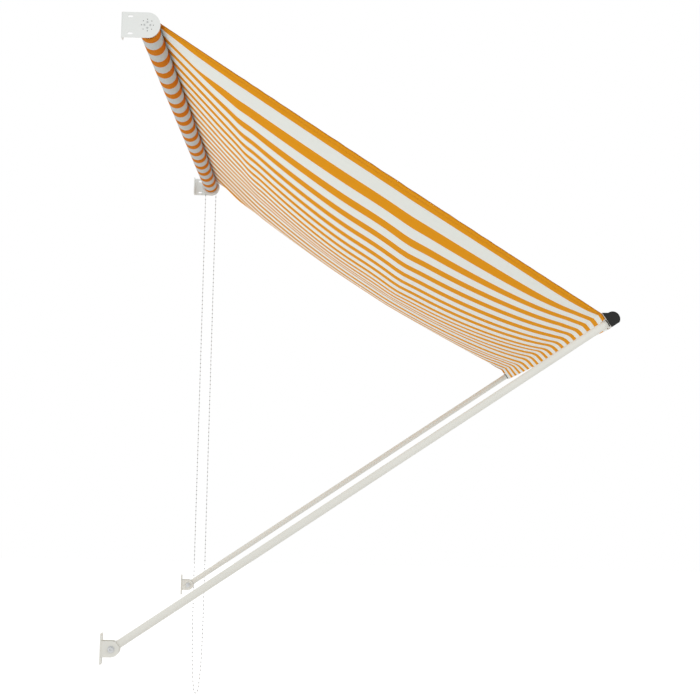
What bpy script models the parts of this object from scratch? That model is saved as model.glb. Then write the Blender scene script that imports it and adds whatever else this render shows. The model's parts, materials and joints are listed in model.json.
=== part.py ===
# Canvas awning with two drop arms. A striped cloth unwinds from a roller between two
# wall brackets, and a front bar on two swinging arms carries its other end.
# A bead chain at the right end turns the roller.
# X runs along the wall, -Y points away from the wall and Z is up. The wall is y = 0.
# The origin is the middle of the left upper bracket's wall flange, at the roller's height.

import math

import bmesh
import bpy
from mathutils import Vector

# Overall layout
overall_width = 2.000
roller_reach = 0.066
pivot_reach = 0.0273
pivot_drop = 1.549
arm_length = 1.465
arm_angle = math.radians(34.36)
fit_gap = 0.0003

# Upper brackets: folded sheet, a side plate with a round nose and a wall flange
bracket_thickness = 0.003
bracket_nose_radius = 0.0325
bracket_bend_radius = 0.004
flange_width = 0.028
flange_hole_radius = 0.00425
flange_hole_height = 0.020
slot_length = 0.0135
slot_height = 0.0055
slot_from_wall = 0.023
slot_from_axis = 0.022
outer_ring_radius = 0.015
outer_ring_hole_radius = 0.0013
outer_ring_holes = 8
bracket_screw_ring_radius = 0.0075
bracket_screw_count = 4
bracket_screw_radius = 0.0012
bracket_screw_head_radius = 0.0023
bracket_screw_head_height = 0.0012
bracket_screw_rim_height = 0.0007
bracket_screw_top_radius = 0.0016
bracket_screw_bite = 0.0018

# Roller: tube, end plugs and the spigots that they turn on
tube_radius = 0.025
tube_wall = 0.0012
spigot_radius = 0.008
spigot_length = 0.045
spigot_flange_radius = 0.0125
spigot_flange_thickness = 0.0025
plug_flange_thickness = 0.0025
plug_depth = 0.032
plug_lead_length = 0.002
plug_lead_depth = 0.0015
spigot_chamfer = 0.001
left_plug_inset = 0.0085

# Bead chain drive at the right end
housing_radius = 0.034
housing_wall = 0.002
housing_depth = 0.0207
housing_bevel = 0.002
housing_bore = 0.0105
housing_front_bore = 0.0160
housing_plug_gap = 0.0008
hub_flange_radius = 0.0155
hub_flange_thickness = 0.0022
chain_inset = 0.013
chain_diameter = 0.0045
chain_wheel_radius = 0.0225
chain_groove_radius = 0.0168
chain_groove_width = 0.0056
chain_wheel_width = 0.0090
chain_wheel_hub_radius = 0.0140
chain_wheel_chamfer = 0.0006
chain_mouth_half_width = 0.0265

# The chain's route about the roller axis, front strand first: distance from the axis
# away from the wall, and height. The loop hangs to the same point below both strands.
chain_route = [
    (0.0030, 0.0198),
    (0.0105, 0.0170),
    (0.0170, 0.0105),
    (0.0200, 0.0000),
    (0.0201, -0.0500),
    (0.0201, -0.4000),
    (0.0201, -0.8000),
    (0.0201, -1.2000),
    (0.0199, -1.6500),
    (0.0168, -1.8400),
    (0.0085, -1.9420),
    (0.0000, -1.9600),
]
chain_steps = 3

# Cloth
cloth_inset = 0.030
cloth_thickness = 0.001
roll_build = 0.0016
orange_band = 0.0500
white_band = 0.0565
cloth_wrap_angle = math.radians(24)
cloth_sag = 0.127
cloth_edge_sag = 0.004
sag_side_reach = 0.27
sag_side_power = 1.04
sag_roll_power = 1.06
sag_bar_power = 1.18
span_steps = 20
wrap_steps = 4
row_crowding = 0.45
leaving_steps = 4
groove_entry_steps = 2
arm_notch_clearance = 0.0015

# The fold at the bar: in the middle the cloth comes down behind the bar's back
fold_drop = 0.0235
fold_side_reach = 0.45
fold_side_power = 1.2
fold_length = 0.012
fold_steps = 4

# Soft creases across the cloth: place along the span, depth and half width, as shares
# of the span for the first and last of each three and metres for the middle one
creases = [
    (0.175, 0.0050, 0.025),
    (0.515, -0.0034, 0.036),
    (0.586, 0.0050, 0.036),
]

# Front bar: hollow section with a flat back, a round nose and a groove for the cloth.
# Distances run along the arm from the bar's back, heights run square to it.
bar_end_inset = 0.023
bar_wall = 0.0016
bar_top = 0.029
bar_bottom = 0.014
nose_radius = 0.019
nose_along = 0.013
nose_up = 0.002
nose_top_angle = math.radians(93)
groove_along = 0.013
groove_radius = 0.0035
groove_slot = 0.0026
groove_wall = 0.0013
welt_radius = 0.0028

# End caps of the bar
cap_thickness = 0.004
cap_rim = 0.0018
cap_rim_height = 0.0007
cap_plug_depth = 0.006
cap_plug_bottom = -0.0025

# Arms
arm_inset = 0.035
arm_radius = 0.010
arm_wall = 0.0015
arm_tube_start = 0.0195
eye_radius = 0.0105
tongue_plug_depth = 0.038
tongue_neck = 0.003
arm_plug_flange = 0.002
arm_plug_depth = 0.034
arm_plug_lead_length = 0.002
arm_plug_lead_depth = 0.001
arm_screw_radius = 0.003
arm_screw_head_radius = 0.005
arm_screw_head_height = 0.0035
arm_screw_bite = 0.022

# Lower brackets: wall plate with two cheeks, and the pivot between them
foot_width = 0.031
foot_height = 0.075
foot_thickness = 0.003
foot_corner_radius = 0.004
foot_hole_radius = 0.0035
foot_hole_height = 0.029
cheek_outer_half = 0.014
cheek_thickness = 0.0025
cheek_radius = 0.0195
bolt_radius = 0.004
bolt_head_radius = 0.0062
bolt_head_height = 0.005
bolt_socket_radius = 0.0031
bolt_socket_depth = 0.003
bolt_chamfer = 0.0006
bush_wall = 0.0018
washer_radius = 0.0085
washer_thickness = 0.0012
nut_radius = 0.0072
nut_height = 0.0065
bolt_tail = 0.002

# Facets, and how far a cutting shape reaches past what it cuts
round_sides = 24
small_sides = 12
hole_sides = 8
bend_steps = 4
nose_steps = 16
slot_end_steps = 4
corner_steps = 3
cheek_steps = 12
eye_steps = 8
bar_nose_steps = 14
groove_steps = 12
ridge_steps = 10
chain_round_steps = 1
cut_margin = 0.001
merge_distance = 0.000001
smooth_angle = math.radians(32)

roll_radius = tube_radius + roll_build
left_face = -flange_width / 2
right_face = left_face + overall_width
sides = ("left", "right")


def clear_scene():
    for old in list(bpy.data.objects):
        bpy.data.objects.remove(old, do_unlink=True)


def make_material(name, colour, roughness, metallic=0.0):
    material = bpy.data.materials.new(name)
    material.use_nodes = True
    shader = material.node_tree.nodes["Principled BSDF"]
    shader.inputs["Base Color"].default_value = (*colour, 1.0)
    shader.inputs["Roughness"].default_value = roughness
    shader.inputs["Metallic"].default_value = metallic
    material.diffuse_color = (*colour, 1.0)
    return material


def add_object(name, shape, materials, parent=None, location=(0.0, 0.0, 0.0)):
    bmesh.ops.remove_doubles(shape, verts=shape.verts, dist=merge_distance)
    bmesh.ops.recalc_face_normals(shape, faces=shape.faces)
    mesh = bpy.data.meshes.new(name)
    shape.to_mesh(mesh)
    shape.free()
    for material in materials:
        mesh.materials.append(material)
    mesh.shade_smooth()
    mesh.set_sharp_from_angle(angle=smooth_angle)
    made = bpy.data.objects.new(name, mesh)
    made.location = location
    made.parent = parent
    bpy.context.scene.collection.objects.link(made)
    return made


def combine(target, helper, operation):
    # The helper only shapes the target, so it is hidden and shown as wires.
    helper.hide_render = True
    helper.display_type = "WIRE"
    helper.parent = target.parent
    modifier = target.modifiers.new(helper.name, "BOOLEAN")
    modifier.operation = operation
    modifier.solver = "EXACT"
    modifier.object = helper


def station(side, inset):
    # X at a distance inward from the outer face of that side's upper bracket
    if side == "left":
        return left_face + inset
    return right_face - inset


def turned(profile, segments, centre, axis, across):
    # Turns (distance along the axis, radius) points about the axis into a solid.
    axis = Vector(axis)
    across = Vector(across)
    upward = axis.cross(across)
    shape = bmesh.new()
    rings = []
    for distance, radius in profile:
        middle = Vector(centre) + axis * distance
        if radius == 0:
            rings.append([shape.verts.new(middle)])
            continue
        ring = []
        for step in range(segments):
            turn = 2 * math.pi * (step + 0.5) / segments
            spoke = across * math.cos(turn) + upward * math.sin(turn)
            ring.append(shape.verts.new(middle + spoke * radius))
        rings.append(ring)
    pairs = list(zip(rings, rings[1:]))
    if len(rings[0]) > 1:
        pairs.append((rings[-1], rings[0]))
    for first, second in pairs:
        for step in range(segments):
            after = (step + 1) % segments
            if len(first) == 1:
                corners = [first[0], second[after], second[step]]
            elif len(second) == 1:
                corners = [first[step], first[after], second[0]]
            else:
                corners = [first[step], first[after], second[after], second[step]]
            shape.faces.new(corners)
    return shape


def turned_across(side, profile, segments, y=0.0, z=0.0):
    # A turned solid on an axis along X, with its profile given as (inset, radius).
    placed = [(station(side, inset), radius) for inset, radius in profile]
    return turned(placed, segments, (0.0, y, z), (1, 0, 0), (0, 1, 0))


def turned_along_arm(x, profile, segments):
    # A turned solid on an arm's axis, with its profile given as (distance, radius).
    return turned(profile, segments, (x, 0.0, 0.0), (0, -1, 0), (1, 0, 0))


def slab(loops, to_point, depth):
    # Fills an outline, less any holes in it, and gives it depth along a vector.
    shape = bmesh.new()
    edges = []
    for loop in loops:
        corners = [shape.verts.new(to_point(*point)) for point in loop]
        for first, second in zip(corners, corners[1:] + corners[:1]):
            edges.append(shape.edges.new((first, second)))
    bmesh.ops.triangle_fill(shape, edges=edges, use_beauty=True, use_dissolve=False)
    extruded = bmesh.ops.extrude_face_region(shape, geom=shape.faces[:], use_keep_orig=True)
    moved = [item for item in extruded["geom"] if isinstance(item, bmesh.types.BMVert)]
    bmesh.ops.translate(shape, verts=moved, vec=depth)
    return shape


def slab_across(loops, x_start, x_end):
    # An outline of (y, z) points, given depth along X.
    return slab(loops, lambda y, z: (x_start, y, z), (x_end - x_start, 0, 0))


def bar_slab(loops, x_start, x_end, along=0.0):
    # An outline of (distance along the arm from the bar's back, height) points, along X.
    start = arm_length + along
    return slab(loops, lambda a, up: (x_start, -(start + a), up), (x_end - x_start, 0, 0))


def block(corner, opposite):
    low = Vector(corner)
    high = Vector(opposite)
    shape = bmesh.new()
    bmesh.ops.create_cube(shape, size=1.0)
    bmesh.ops.scale(shape, verts=shape.verts, vec=high - low)
    bmesh.ops.translate(shape, verts=shape.verts, vec=(low + high) / 2)
    return shape


def merge_shapes(shapes):
    # Gathers shapes that stand apart into one.
    whole = bmesh.new()
    for shape in shapes:
        passing = bpy.data.meshes.new("passing")
        shape.to_mesh(passing)
        shape.free()
        whole.from_mesh(passing)
        bpy.data.meshes.remove(passing)
    return whole


def arc(centre, radius, start, end, steps):
    points = []
    for step in range(steps + 1):
        turn = start + (end - start) * step / steps
        points.append((centre[0] + radius * math.cos(turn), centre[1] + radius * math.sin(turn)))
    return points


def circle(centre, radius, steps):
    return arc(centre, radius, 0.0, 2 * math.pi, steps)[:-1]


def rounded_slot(centre, length, height):
    straight = (length - height) / 2
    right = (centre[0] + straight, centre[1])
    left = (centre[0] - straight, centre[1])
    quarter = math.pi / 2
    ends = arc(right, height / 2, -quarter, quarter, slot_end_steps)
    return ends + arc(left, height / 2, quarter, 3 * quarter, slot_end_steps)


def rounded_rectangle(width, height, radius):
    points = []
    corners = ((1, 1), (-1, 1), (-1, -1), (1, -1))
    for number, (across, up) in enumerate(corners):
        centre = (across * (width / 2 - radius), up * (height / 2 - radius))
        start = number * math.pi / 2
        points += arc(centre, radius, start, start + math.pi / 2, corner_steps)
    return points


def inset_outline(points, distance):
    # Moves every edge of a counter-clockwise outline inward by the distance.
    moved = []
    count = len(points)
    for number in range(count):
        before = Vector(points[number - 1])
        here = Vector(points[number])
        after = Vector(points[(number + 1) % count])
        first = (here - before).normalized()
        second = (after - here).normalized()
        first_inward = Vector((-first.y, first.x))
        second_inward = Vector((-second.y, second.x))
        middle = first_inward + second_inward
        moved.append(tuple(here + middle * distance / (1 + first_inward.dot(second_inward))))
    return moved


def ring_positions(radius, count, start=0.0):
    return arc((0.0, 0.0), radius, start, start + 2 * math.pi, count)[:-1]


def arm_point(along, up):
    # World (y, z) of a point at a distance along the arm and a height square to it
    y = -pivot_reach - along * math.cos(arm_angle) + up * math.sin(arm_angle)
    z = -pivot_drop + along * math.sin(arm_angle) + up * math.cos(arm_angle)
    return y, z


# Upper brackets


def make_upper_bracket(side, material):
    reach = roller_reach + bracket_nose_radius
    thickness = bracket_thickness
    inner_bend = bracket_bend_radius - thickness
    bend_centre = (bracket_bend_radius, bracket_bend_radius)
    section = arc(bend_centre, bracket_bend_radius, math.pi, 1.5 * math.pi, bend_steps)
    section += [(flange_width, 0.0), (flange_width, thickness)]
    section += arc(bend_centre, inner_bend, 1.5 * math.pi, math.pi, bend_steps)
    section += [(thickness, reach + cut_margin), (0.0, reach + cut_margin)]
    low = -bracket_nose_radius - cut_margin
    height = 2 * (bracket_nose_radius + cut_margin)
    folded = slab([section], lambda x, y: (station(side, x), -y, low), (0, 0, height))
    bracket = add_object(f"upper_bracket_{side}", folded, [material])

    across = (station(side, -cut_margin), station(side, flange_width + cut_margin))
    nose = arc((-roller_reach, 0.0), bracket_nose_radius, math.pi / 2, 1.5 * math.pi, nose_steps)
    nose += [(cut_margin, -bracket_nose_radius), (cut_margin, bracket_nose_radius)]
    trim = add_object(f"bracket_outline_{side}", slab_across([nose], *across), [material])
    combine(bracket, trim, "INTERSECT")

    through = (station(side, -cut_margin), station(side, thickness + cut_margin))
    cuts = []
    for up in (-slot_from_axis, slot_from_axis):
        slot = rounded_slot((-slot_from_wall, up), slot_length, slot_height)
        cuts.append(slab_across([slot], *through))
    for y, z in ring_positions(outer_ring_radius, outer_ring_holes):
        hole = circle((y - roller_reach, z), outer_ring_hole_radius, hole_sides)
        cuts.append(slab_across([hole], *through))
    for y, z in ring_positions(bracket_screw_ring_radius, bracket_screw_count):
        hole = circle((y - roller_reach, z), bracket_screw_radius + fit_gap, hole_sides)
        cuts.append(slab_across([hole], *through))
    flange_middle = station(side, (thickness + flange_width) / 2)
    for up in (-flange_hole_height, flange_hole_height):
        hole = circle((flange_middle, up), flange_hole_radius, small_sides)
        depth = (0, -thickness - 2 * cut_margin, 0)
        cuts.append(slab([hole], lambda x, z: (x, cut_margin, z), depth))
    holes = add_object(f"bracket_holes_{side}", merge_shapes(cuts), [material])
    combine(bracket, holes, "DIFFERENCE")


def make_bracket_screws(side, material, bite_start):
    # Four small screws hold the spigot's flange to the side plate.
    head = bracket_screw_head_radius
    depth = bite_start + bracket_screw_bite
    profile = [
        (depth, 0.0),
        (depth, bracket_screw_radius),
        (-fit_gap, bracket_screw_radius),
        (-fit_gap, head),
        (-fit_gap - bracket_screw_rim_height, head),
        (-fit_gap - bracket_screw_head_height, bracket_screw_top_radius),
        (-fit_gap - bracket_screw_head_height, 0.0),
    ]
    for number, (y, z) in enumerate(ring_positions(bracket_screw_ring_radius, bracket_screw_count)):
        place = (0.0, y - roller_reach, z)
        screw = turned_across(side, profile, hole_sides)
        add_object(f"bracket_screw_{side}_{number + 1}", screw, [material], location=place)


def cut_screw_holes(target, side, start, material):
    cuts = []
    depth = start + bracket_screw_bite + fit_gap
    for y, z in ring_positions(bracket_screw_ring_radius, bracket_screw_count):
        hole = circle((y, z), bracket_screw_radius + fit_gap, hole_sides)
        cuts.append(slab_across([hole], station(side, start - cut_margin), station(side, depth)))
    holes = add_object(f"spigot_holes_{side}", merge_shapes(cuts), [material], location=roller_place)
    combine(target, holes, "DIFFERENCE")


# Roller


def plug_profile(start, flange, bore):
    body = tube_radius - tube_wall - fit_gap
    inner = start + flange
    return [
        (start, bore),
        (start, tube_radius),
        (inner, tube_radius),
        (inner, body),
        (inner + plug_depth - plug_lead_length, body),
        (inner + plug_depth, body - plug_lead_depth),
        (inner + plug_depth, bore),
    ]


def make_spigot(name, side, start, flange, material):
    flange_radius, flange_thickness = flange
    end = start + flange_thickness + spigot_length
    profile = [
        (start, 0.0),
        (start, flange_radius),
        (start + flange_thickness, flange_radius),
        (start + flange_thickness, spigot_radius),
        (end - spigot_chamfer, spigot_radius),
        (end, spigot_radius - spigot_chamfer),
        (end, 0.0),
    ]
    shape = turned_across(side, profile, round_sides)
    spigot = add_object(name, shape, [material], location=roller_place)
    cut_screw_holes(spigot, side, start, material)
    make_bracket_screws(side, steel, start)


def make_roller(axis_empty):
    bore = spigot_radius + fit_gap
    left_tube = left_plug_inset + plug_flange_thickness + fit_gap
    right_tube = right_plug_inset + plug_flange_thickness + fit_gap
    for side, inset in (("left", left_plug_inset), ("right", right_plug_inset)):
        plug = turned_across(side, plug_profile(inset, plug_flange_thickness, bore), round_sides)
        add_object(f"roller_plug_{side}", plug, [dark_plastic], axis_empty)

    right_end = overall_width - right_tube
    inner = tube_radius - tube_wall
    tube = [
        (left_tube, inner),
        (left_tube, tube_radius),
        (right_end, tube_radius),
        (right_end, inner),
    ]
    add_object("roller_tube", turned_across("left", tube, round_sides), [bare_metal], axis_empty)

    edges = band_edges()
    outline = [(edges[0], tube_radius + fit_gap)]
    outline += [(edge, roll_radius) for edge in edges]
    outline += [(edges[-1], tube_radius + fit_gap)]
    roll = turned(outline, round_sides, (0, 0, 0), (1, 0, 0), (0, 1, 0))
    paint_bands(roll, edges)
    add_object("cloth_roll", roll, [orange_cloth, white_cloth], axis_empty)


def make_chain_wheel(axis_empty):
    half = chain_wheel_width / 2
    groove = chain_groove_width / 2
    start = chain_inset - half
    end = chain_inset + half
    profile = [
        (start, spigot_radius + fit_gap),
        (start, chain_wheel_radius - chain_wheel_chamfer),
        (start + chain_wheel_chamfer, chain_wheel_radius),
        (chain_inset - groove, chain_wheel_radius),
        (chain_inset - groove, chain_groove_radius),
        (chain_inset + groove, chain_groove_radius),
        (chain_inset + groove, chain_wheel_radius),
        (end - chain_wheel_chamfer, chain_wheel_radius),
        (end, chain_wheel_radius - chain_wheel_chamfer),
        (end, chain_wheel_hub_radius),
        (right_plug_inset - fit_gap, chain_wheel_hub_radius),
        (right_plug_inset - fit_gap, spigot_radius + fit_gap),
    ]
    wheel = turned_across("right", profile, round_sides)
    add_object("chain_wheel", wheel, [dark_plastic], axis_empty)


def make_housing():
    start = bracket_thickness + fit_gap
    end = start + housing_depth
    inner = housing_radius - housing_wall
    profile = [
        (start, housing_bore),
        (start, housing_radius),
        (end - housing_bevel, housing_radius),
        (end, housing_radius - housing_bevel),
        (end, housing_front_bore),
        (end - housing_wall, housing_front_bore),
        (end - housing_wall, inner),
        (start + housing_wall, inner),
        (start + housing_wall, housing_bore),
    ]
    shape = turned_across("right", profile, round_sides)
    housing = add_object("drive_housing", shape, [white_plastic], location=roller_place)
    half = chain_diameter
    under = -housing_radius - cut_margin
    near = (station("right", chain_inset + half), -chain_mouth_half_width, under)
    far = (station("right", chain_inset - half), chain_mouth_half_width, -chain_groove_radius)
    mouth = add_object("chain_mouth", block(near, far), [white_plastic], location=roller_place)
    combine(housing, mouth, "DIFFERENCE")


def smooth_route(points, steps):
    # Reads a smooth curve through the points, with a few places on each stretch.
    route = []
    last = len(points) - 1
    for number in range(last):
        p0 = Vector(points[max(number - 1, 0)])
        p1 = Vector(points[number])
        p2 = Vector(points[number + 1])
        p3 = Vector(points[min(number + 2, last)])
        span = (p2 - p1).length
        start_pull = (p2 - p0).normalized() * span
        end_pull = (p3 - p1).normalized() * span
        for step in range(steps):
            t = step / steps
            place = p1 * (2 * t**3 - 3 * t**2 + 1)
            place += start_pull * (t**3 - 2 * t**2 + t)
            place += p2 * (3 * t**2 - 2 * t**3)
            place += end_pull * (t**3 - t**2)
            route.append(place)
    route.append(Vector(points[last]))
    return route


def make_bead_chain(material):
    x = station("right", chain_inset)
    front = [(x, -roller_reach - away, up) for away, up in chain_route]
    back = [(x, -roller_reach + away, up) for away, up in reversed(chain_route[:-1])]
    curve = bpy.data.curves.new("bead_chain", "CURVE")
    curve.dimensions = "3D"
    curve.bevel_depth = chain_diameter / 2
    curve.bevel_resolution = chain_round_steps
    curve.use_fill_caps = True
    route = smooth_route(front + back, chain_steps)
    spline = curve.splines.new("POLY")
    spline.points.add(len(route) - 1)
    for point, place in zip(spline.points, route):
        point.co = (*place, 1.0)
    curve.materials.append(material)
    chain = bpy.data.objects.new("bead_chain", curve)
    bpy.context.scene.collection.objects.link(chain)


# Cloth


def band_edges():
    # X of every line where the bands of the cloth meet, both outer edges included. The
    # outer bands are orange, take what the whole bands leave and reach past the arms.
    start = left_face + cloth_inset
    end = right_face - cloth_inset
    narrowest = arm_inset + arm_radius + arm_notch_clearance - cloth_inset
    white_count = int((end - start + orange_band - 2 * narrowest) / (white_band + orange_band))
    outer_band = (end - start + orange_band - white_count * (white_band + orange_band)) / 2
    edges = [start, start + outer_band]
    for number in range(1, 2 * white_count):
        width = orange_band if number % 2 == 0 else white_band
        edges.append(edges[-1] + width)
    edges.append(end)
    return edges


def paint_bands(shape, edges):
    # Every second band takes the second material, and end faces stay in the first.
    for face in shape.faces:
        x = face.calc_center_median().x
        band = sum(1 for edge in edges if edge < x - merge_distance) - 1
        face.material_index = band % 2 if 0 <= band < len(edges) - 1 else 0


def from_side_edge(x, edges):
    return max(0.0, min(x - edges[0], edges[-1] - x))


def sag_at(share, x, edges):
    # How far the cloth hangs below its straight line, at a share of the span.
    side = (from_side_edge(x, edges) / sag_side_reach) ** sag_side_power
    lowest = sag_roll_power / (sag_roll_power + sag_bar_power)
    hang = (share / lowest) ** sag_roll_power * ((1 - share) / (1 - lowest)) ** sag_bar_power
    if hang < merge_distance:
        return 0.0
    if side < merge_distance:
        return cloth_edge_sag * hang
    fall = cloth_sag / math.sqrt(hang**-2 + side**-2)
    fold = sum(depth * math.exp(-(((share - place) / width) ** 2)) for place, depth, width in creases)
    return cloth_edge_sag * hang + fall + fold * min(1.0, side) * hang


def leaving_angle(wrap, y, z):
    # Where a straight cloth from a point in side view first touches the roll's top
    away = Vector((y + roller_reach, z))
    return math.atan2(away.y, away.x) % (2 * math.pi) - math.acos(wrap / away.length)


def span_share(row):
    # Rows stand closer together near the roll and the bar.
    share = row / span_steps
    return share - row_crowding * math.sin(2 * math.pi * share) / (2 * math.pi)


def fold_points(before, corner, after, softness):
    # From a sharp turn at the corner to a soft one between the points before and after
    points = []
    for row in range(1, fold_steps + 1):
        t = row / fold_steps
        first = before.lerp(corner, min(1.0, 2 * t))
        sharp = first.lerp(after, max(0.0, 2 * t - 1))
        soft = before.lerp(corner, t).lerp(corner.lerp(after, t), t)
        points.append(tuple(sharp.lerp(soft, softness)))
    return points


def cloth_side_line(x, edges):
    # The cloth's middle line in side view, as (y, z) points from the roll to the groove.
    offset = fit_gap + cloth_thickness / 2
    wrap = roll_radius + offset
    top = arm_point(arm_length - offset, bar_top)
    low = Vector(arm_point(arm_length - offset, -bar_bottom))
    softness = min(1.0, from_side_edge(x, edges) / fold_side_reach) ** fold_side_power
    fold = Vector((top[0], top[1] - fold_drop * softness))
    taut = leaving_angle(wrap, *top)
    leave = Vector((wrap * math.cos(taut) - roller_reach, wrap * math.sin(taut)))
    span = []
    for row in range(1, span_steps):
        share = span_share(row)
        straight = leave.lerp(fold, share)
        span.append((straight.x, straight.y - sag_at(share, x, edges)))
    meeting = max(leaving_angle(wrap, *point) for point in span[:leaving_steps])
    start = taut - cloth_wrap_angle
    line = []
    for step in range(wrap_steps + 1):
        turn = start + (meeting - start) * step / wrap_steps
        line.append((wrap * math.cos(turn) - roller_reach, wrap * math.sin(turn)))
    line += span
    strip = bar_top + bar_bottom
    line += fold_points(Vector(span[-1]), fold, fold.lerp(low, fold_length / strip), softness)
    notch_row = len(line)
    line.append(tuple(fold.lerp(low, (bar_top - arm_radius - arm_notch_clearance) / strip)))
    slot_edge = groove_along - groove_slot / 2
    turns = arc((0.0, -bar_bottom), offset, math.pi, 1.5 * math.pi, groove_entry_steps)
    turns += arc((slot_edge, -bar_bottom), offset, -math.pi / 2, 0.0, groove_entry_steps)
    turns.append((slot_edge + offset, groove_centre_up - welt_radius - fit_gap))
    line += [arm_point(arm_length + along, up) for along, up in turns]
    return line, notch_row


def make_canopy():
    edges = band_edges()
    band_count = len(edges) - 1
    shape = bmesh.new()
    upper = []
    lower = []
    for x in edges:
        line, notch_row = cloth_side_line(x, edges)
        upper_column = []
        lower_column = []
        for number, (y, z) in enumerate(line):
            before = Vector(line[max(number - 1, 0)])
            after = Vector(line[min(number + 1, len(line) - 1)])
            run = (after - before).normalized()
            square = Vector((run.y, -run.x)) * cloth_thickness / 2
            upper_column.append(shape.verts.new((x, y - square.x, z - square.y)))
            lower_column.append(shape.verts.new((x, y + square.x, z + square.y)))
        upper.append(upper_column)
        lower.append(lower_column)

    last_row = len(upper[0]) - 1

    def covered(band, row):
        # The outer bands stop above the arms' ends.
        if not 0 <= band < band_count or not 0 <= row < last_row:
            return False
        return row < notch_row or 0 < band < band_count - 1

    for band in range(band_count):
        for row in range(last_row):
            if not covered(band, row):
                continue
            # The fold of each quad slopes down from the middle of the cloth to its edge.
            outer, inner = (band, band + 1) if band < band_count / 2 else (band + 1, band)
            faces = []
            for skin in (upper, lower):
                faces.append([skin[outer][row], skin[inner][row], skin[outer][row + 1]])
                faces.append([skin[inner][row], skin[inner][row + 1], skin[outer][row + 1]])
            rims = (
                ((-1, 0), (band, row), (band, row + 1)),
                ((1, 0), (band + 1, row), (band + 1, row + 1)),
                ((0, -1), (band, row), (band + 1, row)),
                ((0, 1), (band, row + 1), (band + 1, row + 1)),
            )
            for (step_band, step_row), first, second in rims:
                if covered(band + step_band, row + step_row):
                    continue
                a = upper[first[0]][first[1]]
                b = upper[second[0]][second[1]]
                c = lower[second[0]][second[1]]
                d = lower[first[0]][first[1]]
                faces.append([a, b, c, d])
            for corners in faces:
                shape.faces.new(corners).material_index = band % 2
    loose = [vert for vert in shape.verts if not vert.link_faces]
    bmesh.ops.delete(shape, geom=loose, context="VERTS")
    add_object("canopy_cloth", shape, [orange_cloth, white_cloth])


# Front bar


def bar_outline(grooved):
    # The bar's section, counter-clockwise from the lower back corner.
    low = -bar_bottom
    drop = low - nose_up
    first_angle = math.asin(drop / nose_radius)
    outline = [(0.0, low)]
    if grooved:
        half = groove_slot / 2
        turn = math.asin(half / groove_radius)
        outline.append((groove_along - half, low))
        start = -math.pi / 2 - turn
        end = -1.5 * math.pi - (math.pi - turn)
        outline += arc((groove_along, groove_centre_up), groove_radius, start, end, groove_steps)
        outline.append((groove_along + half, low))
    outline += arc((nose_along, nose_up), nose_radius, first_angle, nose_top_angle, bar_nose_steps)
    outline.append((0.0, bar_top))
    return outline


def bar_hollow():
    # The bar's inner hollow, which goes round the wall of the groove.
    inner = inset_outline(bar_outline(grooved=False), bar_wall)
    floor = -bar_bottom + bar_wall
    around = groove_radius + groove_wall
    rise = math.asin((floor - groove_centre_up) / around)
    ridge = arc((groove_along, groove_centre_up), around, math.pi - rise, rise, ridge_steps)
    return [inner[0]] + ridge + inner[1:]


def make_front_bar(arm_empty):
    start = station("left", bar_end_inset)
    end = station("right", bar_end_inset)
    shape = bar_slab([bar_outline(grooved=True), bar_hollow()], start, end)
    bar = add_object("front_bar", shape, [white_metal], arm_empty)
    cuts = []
    for side in sides:
        x = station(side, arm_inset)
        start_cut = arm_length - cut_margin
        deep = arm_length + bar_wall + cut_margin
        bore = arm_screw_radius + fit_gap
        reach = [(start_cut, 0.0), (start_cut, bore), (deep, bore), (deep, 0.0)]
        cuts.append(turned_along_arm(x, reach, small_sides))
    holes = add_object("bar_screw_holes", merge_shapes(cuts), [white_metal], arm_empty)
    combine(bar, holes, "DIFFERENCE")

    welt = turned(
        [(left_face + cloth_inset, 0.0), (left_face + cloth_inset, welt_radius),
         (right_face - cloth_inset, welt_radius), (right_face - cloth_inset, 0.0)],
        small_sides,
        (0.0, -(arm_length + groove_along), groove_centre_up),
        (1, 0, 0),
        (0, 1, 0),
    )
    add_object("cloth_welt", welt, [white_plastic], arm_empty)


def make_end_cap(side, arm_empty):
    outer = bar_outline(grooved=False)
    rim = inset_outline(outer, cap_rim)
    inner_face = bar_end_inset - fit_gap
    outer_face = inner_face - cap_thickness
    sunk = outer_face + cap_rim_height
    plate = bar_slab([outer], station(side, outer_face), station(side, inner_face))
    cap = add_object(f"bar_cap_{side}", plate, [black_plastic], arm_empty)
    recess = bar_slab([rim], station(side, outer_face - cut_margin), station(side, sunk))
    combine(cap, add_object(f"cap_recess_{side}", recess, [black_plastic], arm_empty), "DIFFERENCE")

    inner = inset_outline(outer, bar_wall + fit_gap)
    radius = nose_radius - bar_wall - fit_gap
    front = nose_along + math.sqrt(radius**2 - (cap_plug_bottom - nose_up) ** 2)
    plug = [(inner[0][0], cap_plug_bottom), (front, cap_plug_bottom)]
    plug += [point for point in inner[1:] if point[1] > cap_plug_bottom + merge_distance]
    depth = bar_end_inset + cap_plug_depth
    shape = bar_slab([plug], station(side, inner_face - cut_margin), station(side, depth))
    combine(cap, add_object(f"cap_plug_{side}", shape, [black_plastic], arm_empty), "UNION")


# Arms


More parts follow.
